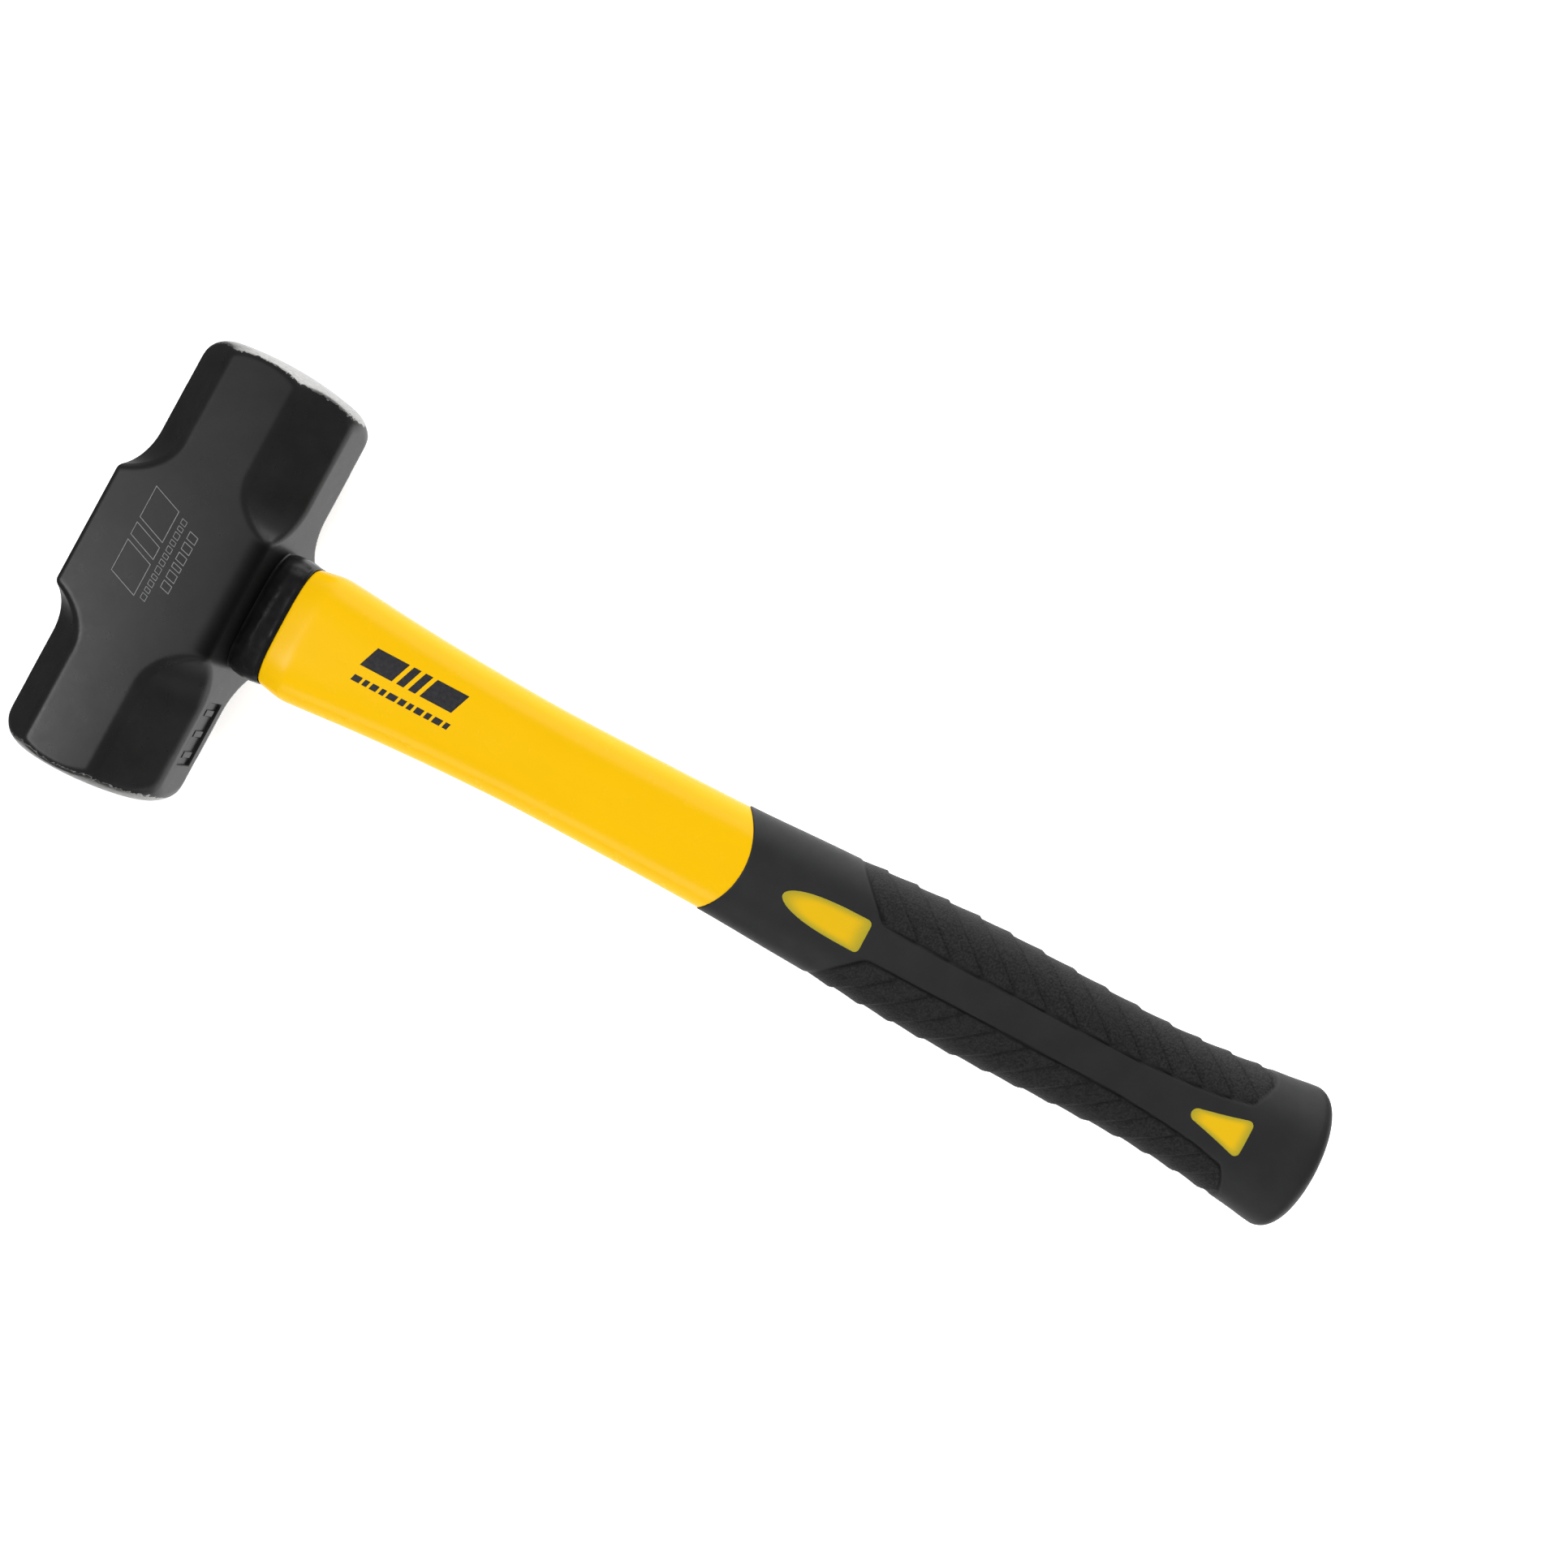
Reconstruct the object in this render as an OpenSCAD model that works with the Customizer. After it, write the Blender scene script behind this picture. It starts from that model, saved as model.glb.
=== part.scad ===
// Hand sledgehammer, lying on its side.
// +X runs along the handle from the head to the butt, +Y along the head and +Z up.
// The origin is the middle of the head's lower cheek, on the surface that it rests on.

/* [Head] */
// Length of the head over its two striking faces
head_l = 124.8; // [116:0.2:134]
// Width of the head along the handle
head_w = 44.4; // [43:0.2:47]
// Thickness of the head between its cheeks
head_t = 40.8; // [40.4:0.2:43]
// Width of the cheek that is left between the bevels of a poll
poll_flat_w = 20; // [19:0.5:22]
// Radius of the cutter that ends each bevel
bevel_r = 15; // [12:0.5:18]
// Distance from the middle of the head to where the bevels reach full depth
bevel_full_y = 30.5; // [29:0.5:34]
// Radius of the turned edge round each striking face
face_edge_r = 6.6; // [5:0.2:9]
// Height of the crown on each striking face, up to its turned edge
face_crown = 1.9; // [0.8:0.1:2.5]
// Length of the sunk stamp on the handle side of one poll
stamp_l = 19.2; // [14:0.2:22]
// Width of the sunk stamp
stamp_w = 8.2; // [6:0.2:12]
// Depth of the sunk stamp
stamp_depth = 0.8; // [0.4:0.1:1.2]

/* [Eye and core] */
// Length of the eye across the head
eye_l = 29; // [28:0.5:32]
// Width of the eye between the cheeks
eye_w = 19; // [18:0.5:21]
// Long side of the fibreglass core
core_l = 24; // [22:0.5:25]
// Short side of the fibreglass core
core_w = 14; // [12:0.5:15]
// How far the core stops below the crown side of the head
core_recess = 1.6; // [0.5:0.1:3]
// How far the epoxy stops below the crown side of the head
epoxy_recess = 0.8; // [0.2:0.1:1.5]
// Solid end of the jacket and grip past the core
core_end_cover = 12.5; // [10:0.5:20]

/* [Collar] */
// Length of the rubber collar along the handle
collar_l = 8.8; // [7:0.2:12]
// Size of the collar along the head
collar_h = 35.6; // [34:0.2:37]
// Size of the collar through the thickness
collar_t = 20.6; // [19:0.2:23]
// Length of the lip that meets the jacket
collar_lip_l = 1.6; // [1:0.1:3]
// Height of that lip
collar_lip = 0.3; // [0.1:0.1:0.6]

/* [Handle] */
// Overall length, from the crown side of the head to the butt
overall_l = 367; // [340:1:390]
// Height of the jacket at its shoulder
shoulder_h = 37.5; // [36:0.1:39]
// Height of the jacket at its waist
waist_h = 29.9; // [28:0.1:32]
// Height of the grip at its palm swell
swell_h = 36.4; // [33:0.1:38]
// Height of the grip just before the butt flares
heel_h = 33.6; // [31:0.1:35]
// Height of the butt
butt_h = 41.3; // [38:0.1:44]
// Thickness of the jacket at its waist
waist_t = 21.6; // [20:0.1:24]
// Thickness of the grip at its palm swell
swell_t = 27.2; // [25:0.1:30]
// Thickness of the butt
butt_t = 32; // [29:0.1:36]
// Radius of the rounded edge of the butt
butt_edge_r = 6; // [2:0.5:8]
// Squareness of the section: 2 is an ellipse, more is squarer
squareness = 2.6; // [2:0.1:3]

/* [Grip] */
// How far the grip stands above the jacket
grip_step = 0.3; // [0.1:0.1:0.6]
// Wall thickness of the grip
grip_wall = 2.4; // [2:0.1:2.6]
// Furthest point of the jacket's curved end, along the handle
jacket_end_x = 170.4; // [165:0.5:175]
// Radius of that curved end, seen from the cheek side
jacket_end_r = 22.5; // [20:0.5:30]
// Height of the two jacket lands that show through the grip
land_h = 10; // [8:0.2:11]

/* [Hidden] */

$fn = 64;
sides = 40;                                  // flats round a handle section
axis_z = head_t / 2;                         // height of the handle's axis
crown_x = -head_w / 2;                       // side of the head away from the handle
jacket_x = head_w / 2 + collar_l;            // where the jacket starts
butt_x = crown_x + overall_l;
half_l = head_l / 2;
bevel_p = (poll_flat_w + head_t) / 2 / sqrt(2);      // from the head's axis to a bevel
turned_r = norm([head_w / 2, (poll_flat_w + head_t - head_w) / 2]) + 0.5;
edge_x = turned_r - face_edge_r;                     // centre of the turned edge, from the head's axis
crown_r = (edge_x ^ 2 + face_crown ^ 2) / (2 * face_crown);
edge_y = half_l - crown_r + sqrt((crown_r - face_edge_r) ^ 2 - edge_x ^ 2);
stamp_y = -0.606 * half_l;                   // middle of the stamp
core_end_x = butt_x - core_end_cover;
swell_x = jacket_x + 0.65 * (butt_x - jacket_x);
grip_start_x = jacket_end_x - jacket_end_r;  // centre of the jacket's curved end
front_land_x = jacket_end_x + 12.4;          // tip of the front land
front_land_l = 25;
rear_land_x = butt_x - 39.4;                 // tip of the rear land
rear_land_l = 16.5;
land_corner_r = 1.4;

// Handle sections: distance along the handle, half height, half thickness
handle = [
    [jacket_x, shoulder_h / 2 - 1, waist_t / 2 - 0.2],
    [jacket_x + 7.5, shoulder_h / 2, waist_t / 2 + 0.5],
    [jacket_x + 29, shoulder_h / 2 - 1.7, waist_t / 2 + 0.3],
    [jacket_x + 49, waist_h / 2 + 0.9, waist_t / 2 + 0.1],
    [jacket_x + 74, waist_h / 2 + 0.05, waist_t / 2],
    [jacket_x + 99, waist_h / 2, waist_t / 2 + 0.2],
    [jacket_end_x - 5, waist_h / 2 + 0.5, waist_t / 2 + 0.9],
    [jacket_end_x + 20, swell_h / 2 - 1.55, swell_t / 2 - 1],
    [swell_x, swell_h / 2, swell_t / 2],
    [butt_x - 52, heel_h / 2, swell_t / 2 - 0.7],
    [butt_x - 30, heel_h / 2 + 1, butt_t / 2 - 2.4],
    [butt_x - 15, butt_h / 2 - 1.5, butt_t / 2 - 1.1],
    [butt_x - butt_edge_r, butt_h / 2, butt_t / 2],
    [butt_x, butt_h / 2, butt_t / 2]
];

function segment(x) = max([for (i = [0:len(handle) - 2]) if (i == 0 || x >= handle[i][0]) i]);
function slope(i, k) =
    let (a = handle[max(i - 1, 0)], b = handle[min(i + 1, len(handle) - 1)])
    (b[k] - a[k]) / (b[0] - a[0]);
// Column k of the handle table at x, on a smooth curve through its rows
function half(x, k) =
    let (i = segment(x), step = handle[i + 1][0] - handle[i][0], t = (x - handle[i][0]) / step)
    (2 * t ^ 3 - 3 * t ^ 2 + 1) * handle[i][k] + (t ^ 3 - 2 * t ^ 2 + t) * step * slope(i, k)
    + (3 * t ^ 2 - 2 * t ^ 3) * handle[i + 1][k] + (t ^ 3 - t ^ 2) * step * slope(i + 1, k);

function rounded_power(v, n) = sign(v) * abs(v) ^ (2 / n);
// One closed section at x, moved in by inset
function section(x, inset) = [
    for (s = [0:sides - 1]) let (a = 360 * (s + 0.5) / sides) [
        x,
        (half(x, 1) - inset) * rounded_power(cos(a), squareness),
        axis_z + (half(x, 2) - inset) * rounded_power(sin(a), squareness)
    ]
];

// A solid through sections, each given as [x, inset]
module loft(rings) {
    points = [for (r = rings) each section(r[0], r[1])];
    last = (len(rings) - 1) * sides;
    polyhedron(points, concat(
        [[for (s = [0:sides - 1]) s]],
        [[for (s = [sides - 1:-1:0]) last + s]],
        [for (r = [0:len(rings) - 2], s = [0:sides - 1])
            let (a = r * sides + s, b = r * sides + (s + 1) % sides)
            each [[a, a + sides, b], [b, a + sides, b + sides]]]
    ));
}

function steps(x0, x1, step, inset) =
    let (n = ceil((x1 - x0) / step)) [for (i = [0:n]) [x0 + (x1 - x0) * i / n, inset]];
function arc(centre, r, a0, a1) =
    [for (i = [0:6]) let (a = a0 + (a1 - a0) * i / 6) centre + r * [cos(a), sin(a)]];

// A bar along X with a flat middle and round ends
module stadium(length, width, x0, x1) {
    translate([x0, 0, axis_z]) rotate([0, 90, 0]) linear_extrude(x1 - x0) {
        square([width, length - width], center = true);
        for (s = [-1, 1]) translate([0, s * (length - width) / 2]) circle(d = width);
    }
}

// A bar along X with rounded corners
module rounded_bar(height, thickness, r, x0, x1) {
    translate([x0, 0, axis_z]) rotate([0, 90, 0]) linear_extrude(x1 - x0) {
        square([thickness - 2 * r, height], center = true);
        square([thickness, height - 2 * r], center = true);
        for (s = [-1, 1], t = [-1, 1])
            translate([s * (thickness / 2 - r), t * (height / 2 - r)]) circle(r);
    }
}

// What the cutter takes off the corners at one end of the head
module bevels() {
    for (a = [45:90:315]) rotate([0, a, 0]) linear_extrude(2 * head_w, center = true) {
        translate([bevel_p + bevel_r, bevel_full_y]) circle(bevel_r);
        translate([bevel_p, bevel_full_y]) square([2 * bevel_r, half_l]);
    }
}

// What turning takes off one end of the head: a crowned face that runs into a rounded edge
module turning() {
    start = edge_y - 2 * face_edge_r;
    meet_x = edge_x * crown_r / (crown_r - face_edge_r);
    rotate([-90, 0, 0]) rotate_extrude() difference() {
        translate([0, start]) square([2 * turned_r, half_l]);
        translate([0, start - 1]) square([turned_r, edge_y - start + 1]);
        translate([edge_x, edge_y]) circle(face_edge_r);
        intersection() {
            translate([0, half_l - crown_r]) circle(crown_r, $fn = 360);
            translate([0, start]) square([meet_x, half_l]);
        }
    }
}

// A shallow pocket with three plain bars left standing in it
module stamp() {
    bars = 3;
    pitch = stamp_l / bars;
    translate([head_w / 2, stamp_y, 0]) difference() {
        cube([2 * stamp_depth, stamp_l, stamp_w], center = true);
        for (i = [0:bars - 1]) translate([0, (i - 1) * pitch, 0])
            cube([3 * stamp_depth, 0.4 * pitch, 0.7 * stamp_w], center = true);
    }
}

module head() {
    color("dimgray") difference() {
        translate([0, 0, axis_z]) difference() {
            cube([head_w, head_l, head_t], center = true);
            for (end = [0, 1]) mirror([0, end, 0]) {
                bevels();
                turning();
            }
            stamp();
        }
        stadium(eye_l, eye_w, crown_x - 1, head_w / 2 + 1);
    }
}

module core_bar(x0, x1) {
    stadium(core_l, core_w, x0, x1);
}

module eye_epoxy() {
    color("black") difference() {
        stadium(eye_l, eye_w, crown_x + epoxy_recess, head_w / 2);
        core_bar(crown_x + core_recess, head_w / 2 + 1);
    }
}

module core_rod() {
    color("wheat") core_bar(crown_x + core_recess, core_end_x);
}

module collar() {
    color("#202020") difference() {
        union() {
            rounded_bar(collar_h, collar_t, 5.5, head_w / 2, jacket_x);
            rounded_bar(collar_h + 2 * collar_lip, collar_t + 2 * collar_lip, 5.5,
                jacket_x - collar_lip_l, jacket_x);
        }
        core_bar(crown_x, jacket_x + 1);
    }
}

// The stretch of the handle where the jacket is bare, with its curved end
module bare_zone() {
    translate([jacket_x - 1, -butt_h, 0]) cube([grip_start_x - jacket_x + 1, 2 * butt_h, head_t]);
    translate([grip_start_x, 0, 0]) cylinder(h = head_t, r = jacket_end_r, $fn = 180);
}

module front_land_outline() {
    nose_l = 0.68 * front_land_l;
    x = front_land_x + nose_l;
    corner = [front_land_x + front_land_l - land_corner_r, land_h / 2 - land_corner_r];
    polygon(concat(
        [for (a = [90:12:270]) [x + nose_l * cos(a), land_h / 2 * sin(a)]],
        arc([corner.x, -corner.y], land_corner_r, -90, 0),
        arc(corner, land_corner_r, 0, 90)
    ));
}

module rear_land_outline() {
    nose_r = 2;
    corner = [rear_land_x + rear_land_l - land_corner_r, 0.53 * land_h - land_corner_r];
    polygon(concat(
        arc([rear_land_x + nose_r, 0], nose_r, 104, 256),
        arc([corner.x, -corner.y], land_corner_r, -104, 0),
        arc(corner, land_corner_r, 0, 104)
    ));
}

// Columns through both cheek sides of the grip, clear of the core
module windows() {
    for (side = [0, 1]) translate([0, 0, axis_z]) mirror([0, 0, side])
        translate([0, 0, core_w / 2 + 0.5]) linear_extrude(butt_t) {
            front_land_outline();
            rear_land_outline();
        }
}

module grip_skin() {
    loft(concat(
        steps(grip_start_x, butt_x - butt_edge_r, 6, -grip_step),
        [for (a = [30:30:90])
            [butt_x - butt_edge_r * (1 - sin(a)), butt_edge_r * (1 - cos(a)) - grip_step * cos(a)]]
    ));
}

// The jacket where the grip covers it
module liner() {
    loft(steps(grip_start_x - 10, core_end_x + 6, 12, grip_wall - grip_step));
}

module handle_jacket() {
    color("gold") difference() {
        union() {
            intersection() {
                loft(steps(jacket_x, jacket_end_x + 1, 5, 0));
                bare_zone();
            }
            liner();
            intersection() {
                windows();
                grip_skin();
            }
        }
        core_bar(crown_x, core_end_x);
    }
}

module grip() {
    color("#303030") difference() {
        grip_skin();
        bare_zone();
        liner();
        windows();
    }
}

head();
eye_epoxy();
core_rod();
collar();
handle_jacket();
grip();
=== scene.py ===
import math

import bpy
import numpy as np
from mathutils import Matrix, Vector


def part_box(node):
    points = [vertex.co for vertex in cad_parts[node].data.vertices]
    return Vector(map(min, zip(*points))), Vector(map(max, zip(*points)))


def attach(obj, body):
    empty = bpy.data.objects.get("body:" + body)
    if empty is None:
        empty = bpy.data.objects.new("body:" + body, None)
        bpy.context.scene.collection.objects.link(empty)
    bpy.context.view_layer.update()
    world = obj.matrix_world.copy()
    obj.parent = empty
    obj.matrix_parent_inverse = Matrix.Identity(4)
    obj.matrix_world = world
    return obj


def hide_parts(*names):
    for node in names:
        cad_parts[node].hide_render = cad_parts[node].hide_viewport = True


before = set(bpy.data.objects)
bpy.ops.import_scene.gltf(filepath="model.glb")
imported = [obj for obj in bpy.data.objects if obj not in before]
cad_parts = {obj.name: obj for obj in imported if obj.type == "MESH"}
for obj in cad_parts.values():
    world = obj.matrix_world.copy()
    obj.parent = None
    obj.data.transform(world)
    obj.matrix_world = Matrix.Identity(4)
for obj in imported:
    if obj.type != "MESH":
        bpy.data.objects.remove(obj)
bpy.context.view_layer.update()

# Hand sledgehammer lying on its side. +X runs from the head to the butt, +Y along the head, +Z up.
# Shapes are worked out in millimetres and turned into metres when a mesh is made.

MM = 0.001


def node_box(name):
    """Lowest and highest corner of a CAD node, in millimetres."""
    low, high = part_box(name)
    return np.array(low) / MM, np.array(high) / MM


# Driving sizes, from the frame
HEAD_LOW, HEAD_HIGH = node_box("head")
COLLAR_LOW, COLLAR_HIGH = node_box("collar")
JACKET_X = node_box("handle_jacket")[0][0]
GRIP_LOW, GRIP_HIGH = node_box("grip")
CORE_LOW, CORE_HIGH = node_box("core_rod")
EPOXY_LOW, EPOXY_HIGH = node_box("eye_epoxy")

AXIS_Z = (HEAD_LOW[2] + HEAD_HIGH[2]) / 2    # height of the handle's axis
HALF_X, HALF_Y, HALF_Z = (HEAD_HIGH - HEAD_LOW) / 2
BUTT_X = GRIP_HIGH[0]
GRIP_STEP = 0.3                              # how far the grip stands above the jacket
BUTT_H, BUTT_T = (GRIP_HIGH - GRIP_LOW)[1:] - 2 * GRIP_STEP
BUTT_EDGE_R = 6.4                            # rounded edge of the butt
BUTT_DOME = 1.5                              # how far the butt's end is domed


# ---------------------------------------------------------------- mesh helpers

def smoothstep(low, high, value):
    t = np.clip((value - low) / (high - low), 0, 1)
    return t * t * (3 - 2 * t)


def round_max(a, b, r):
    """The larger of two distances, with an outside edge of radius r where they meet."""
    corner = np.hypot(np.maximum(a + r, 0), np.maximum(b + r, 0))
    return np.minimum(-r, np.maximum(a, b)) + corner


def make_piece(name, points, faces, material):
    """A smooth mesh object from points in millimetres, riding on the part."""
    mesh = bpy.data.meshes.new(name)
    mesh.from_pydata((np.asarray(points) * MM).tolist(), [], faces)
    mesh.polygons.foreach_set("use_smooth", [True] * len(mesh.polygons))
    mesh.materials.append(material)
    mesh.update()
    piece = bpy.data.objects.new(name, mesh)
    bpy.context.scene.collection.objects.link(piece)
    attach(piece, "root")
    return piece


def add_attribute(piece, name, values):
    """A number for each point, which the material reads."""
    made = piece.data.attributes.new(name, "FLOAT", "POINT")
    made.data.foreach_set("value", np.asarray(values, float).reshape(-1))


def ring_faces(rows, sides):
    """Quads between closed rings of points laid out row after row."""
    row_start = np.arange(rows - 1)[:, None] * sides
    side = np.arange(sides)[None, :]
    a = row_start + side
    b = row_start + (side + 1) % sides
    return np.stack([a, b, b + sides, a + sides], -1).reshape(-1, 4).tolist()


def loft(name, rings, material, close_end=False):
    """A skin over closed rings, an array of rows x sides x 3."""
    rows, sides = rings.shape[:2]
    faces = ring_faces(rows, sides)
    if close_end:
        faces.append([(rows - 1) * sides + s for s in range(sides)])
    return make_piece(name, rings.reshape(-1, 3), faces, material)


def project(field, points):
    """Moves points onto the surface where field is 0, in a few short steps down its slope."""
    rounds, eps, longest, flattest = 5, 0.01, 0.4, 0.05
    for _ in range(rounds):
        value = field(*points.T)
        slope = np.stack([
            (field(*(points + eps * np.eye(3)[k]).T) - field(*(points - eps * np.eye(3)[k]).T))
            for k in range(3)
        ], -1) / (2 * eps)
        size = np.maximum((slope ** 2).sum(1), flattest)
        points = points - np.clip(value / size, -longest, longest)[:, None] * slope
    return points


def surface_net(field, low, high, step):
    """Points and quads of the surface where field(x, y, z) is 0."""
    axes = [np.arange(a, b + step, step) for a, b in zip(low, high)]
    grid = np.meshgrid(*axes, indexing="ij")
    value = field(*grid)
    cells = np.array(value.shape) - 1
    total, count = np.zeros((*cells, 3)), np.zeros(cells)
    crossings = []
    for axis in range(3):
        near = tuple(slice(0, -1) if k == axis else slice(None) for k in range(3))
        far = tuple(slice(1, None) if k == axis else slice(None) for k in range(3))
        a, b = value[near], value[far]
        crossed = (a < 0) != (b < 0)
        part = np.where(crossed, a / np.where(crossed, a - b, 1), 0)
        point = np.stack([g[near] for g in grid], -1)
        point[..., axis] += part * step
        u, v = [k for k in range(3) if k != axis]
        for du in (0, 1):
            for dv in (0, 1):
                pick = [slice(None)] * 3
                pick[u], pick[v] = slice(du, du + cells[u]), slice(dv, dv + cells[v])
                pick = tuple(pick)
                total += crossed[pick][..., None] * point[pick]
                count += crossed[pick]
        crossings.append((axis, u, v, crossed, a < 0))
    used = count > 0
    number = np.full(cells, -1)
    number[used] = np.arange(used.sum())
    points = total[used] / count[used][:, None]
    quads = []
    for axis, u, v, crossed, inside in crossings:
        edge = np.argwhere(crossed)
        keep = (edge[:, u] > 0) & (edge[:, v] > 0) & (edge[:, u] < cells[u]) & (edge[:, v] < cells[v])
        edge = edge[keep]
        step_u, step_v = np.eye(3, dtype=int)[u], np.eye(3, dtype=int)[v]
        around = [edge, edge - step_u, edge - step_u - step_v, edge - step_v]
        quad = np.stack([number[tuple(c.T)] for c in around], -1)
        out = inside[tuple(edge.T)] == (axis != 1)
        quad = np.where(out[:, None], quad, quad[:, ::-1])
        quads.append(quad)
    return project(field, points), np.concatenate(quads).tolist()


# ---------------------------------------------------------------- material helpers

class Tree:
    """Short forms for the nodes of a material or a world."""

    def __init__(self, owner):
        owner.use_nodes = True
        self.tree = owner.node_tree
        self.tree.nodes.clear()

    def add(self, kind, **settings):
        made = self.tree.nodes.new(kind)
        for key, value in settings.items():
            setattr(made, key, value)
        return made

    def link(self, source, target):
        self.tree.links.new(source, target)

    def feed(self, target, value):
        """Links an output to an input, or sets the input to a plain value."""
        if isinstance(value, bpy.types.NodeSocket):
            self.link(value, target)
        else:
            target.default_value = value

    def math(self, operation, *values):
        made = self.add("ShaderNodeMath", operation=operation)
        for socket, value in zip(made.inputs, values):
            self.feed(socket, value)
        return made.outputs[0]

    def parts(self, vector):
        """x, y and z of a vector."""
        made = self.add("ShaderNodeSeparateXYZ")
        self.link(vector, made.inputs[0])
        return made.outputs

    def ramp(self, value, low, high, to_low=0.0, to_high=1.0, smooth=False):
        """value taken from the range low..high to to_low..to_high, and held at the ends."""
        made = self.add("ShaderNodeMapRange")
        if smooth:
            made.interpolation_type = "SMOOTHSTEP"
        for socket, number in zip(made.inputs, (value, low, high, to_low, to_high)):
            self.feed(socket, number)
        return made.outputs[0]

    def mix(self, factor, first, second):
        """Mixes two colours."""
        made = self.add("ShaderNodeMix", data_type="RGBA")
        colours = [socket for socket in made.inputs if socket.type == "RGBA"]
        self.feed(made.inputs[0], factor)
        for socket, value in zip(colours, (first, second)):
            self.feed(socket, value if isinstance(value, bpy.types.NodeSocket) else (*value, 1))
        return made.outputs[2]


class Nodes(Tree):
    """The nodes of one material round a Principled shader."""

    def __init__(self, name):
        self.material = bpy.data.materials.new(name)
        super().__init__(self.material)
        self.shader = self.add("ShaderNodeBsdfPrincipled")
        output = self.add("ShaderNodeOutputMaterial")
        self.link(self.shader.outputs[0], output.inputs["Surface"])
        self.place = self.add("ShaderNodeTexCoord").outputs["Object"]

    def attribute(self, name):
        """A number that each point of the mesh carries."""
        return self.add("ShaderNodeAttribute", attribute_name=name).outputs["Fac"]

    def scaled(self, size):
        """The place on the object, stretched; size is the length of one unit along x, y and z in mm."""
        made = self.add("ShaderNodeMapping", vector_type="POINT")
        self.link(self.place, made.inputs["Vector"])
        made.inputs["Scale"].default_value = [1 / (s * MM) for s in size]
        return made.outputs[0]

    def noise(self, size, detail=3, roughness=0.55):
        """Cloudy noise whose blobs are about size mm across, from 0 to 1."""
        sizes = size if isinstance(size, (tuple, list)) else (size,) * 3
        made = self.add("ShaderNodeTexNoise")
        self.link(self.scaled(sizes), made.inputs["Vector"])
        made.inputs["Scale"].default_value = 1
        made.inputs["Detail"].default_value = detail
        made.inputs["Roughness"].default_value = roughness
        return made.outputs["Fac"]

    def cells(self, size):
        """Distance to the nearest point of a scatter about size mm apart."""
        made = self.add("ShaderNodeTexVoronoi")
        self.link(self.scaled((size,) * 3), made.inputs["Vector"])
        made.inputs["Scale"].default_value = 1
        return made.outputs["Distance"]

    def bump(self, height, depth, after=None):
        """A bump of height times depth mm, after another bump if given."""
        made = self.add("ShaderNodeBump")
        made.inputs["Strength"].default_value = 1
        made.inputs["Distance"].default_value = depth * MM
        self.feed(made.inputs["Height"], height)
        if after is not None:
            self.link(after, made.inputs["Normal"])
        return made.outputs[0]

    def finish(self, colour, roughness, normal=None, **shader):
        """Feeds the shader and returns the material. Other inputs go by name, with _ for a space."""
        colour = colour if isinstance(colour, bpy.types.NodeSocket) else (*colour, 1)
        self.feed(self.shader.inputs["Base Color"], colour)
        self.feed(self.shader.inputs["Roughness"], roughness)
        if normal is not None:
            self.link(normal, self.shader.inputs["Normal"])
        for name, value in shader.items():
            self.feed(self.shader.inputs[name.replace("_", " ")], value)
        return self.material


# ---------------------------------------------------------------- materials

def head_material():
    """Black paint, with painted shade and higher roughness round the collar, and the turned striking faces
    ground bright.
    """
    n = Nodes("black_paint_and_ground_steel")
    wander = n.ramp(n.noise(1.1), 0.3, 0.7, -0.3, 0.3)
    ground = n.ramp(n.math("ADD", n.attribute("ground"), wander), -0.05, 0.05)
    blotch = n.noise(9)
    paint = n.mix(n.ramp(blotch, 0.35, 0.7), (0.0125, 0.0125, 0.0127), (0.016, 0.016, 0.0165))
    steel = n.mix(n.ramp(n.noise((1.2, 0.25, 1.2)), 0.3, 0.7), (0.55, 0.55, 0.54), (0.8, 0.79, 0.78))
    shade_and_dull = n.attribute("shade_and_dull")
    # painted shade: the paint's colour goes to near black beside the collar, and its roughness rises there
    # too
    colour = n.mix(ground, n.mix(shade_and_dull, paint, (0.002, 0.002, 0.002)), steel)
    rough = n.math("MULTIPLY_ADD", shade_and_dull, 0.55, n.ramp(n.noise(3), 0.3, 0.7, 0.27, 0.31))
    peel = n.bump(n.noise(0.9, 2), 0.006)
    marks = n.bump(n.math("MULTIPLY", n.noise((0.35, 3, 0.35), 4), ground), 0.05, peel)
    return n.finish(colour, rough, marks, Metallic=ground)


def epoxy_material():
    """Poured epoxy, glossy and a little wavy."""
    n = Nodes("black_epoxy")
    colour = n.mix(n.ramp(n.noise(4), 0.35, 0.7), (0.012, 0.011, 0.01), (0.03, 0.027, 0.024))
    return n.finish(colour, n.ramp(n.noise(2), 0.3, 0.7, 0.12, 0.3), n.bump(n.noise(2.5), 0.12))


def core_material():
    """The sawn end of the fibreglass core: dots of glass in pale resin."""
    n = Nodes("fibreglass_end")
    fibres = n.ramp(n.cells(0.55), 0.15, 0.5)
    colour = n.mix(fibres, (0.62, 0.55, 0.4), (0.36, 0.29, 0.18))
    colour = n.mix(n.ramp(n.noise(5), 0.55, 0.8), colour, (0.1, 0.085, 0.06))
    return n.finish(colour, 0.6, n.bump(fibres, 0.06))


def collar_material():
    """Satin rubber with soft lumps that catch the light in patches."""
    n = Nodes("black_collar_rubber")
    colour = n.mix(n.ramp(n.noise(3), 0.3, 0.7), (0.005, 0.005, 0.0053), (0.009, 0.009, 0.0095))
    lumps = n.bump(n.noise(4.5, 1), 0.55)
    rough = n.ramp(n.noise(2.4), 0.3, 0.7, 0.28, 0.4)
    return n.finish(colour, rough, n.bump(n.noise(0.4), 0.012, lumps), Specular_IOR_Level=0.9)


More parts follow.
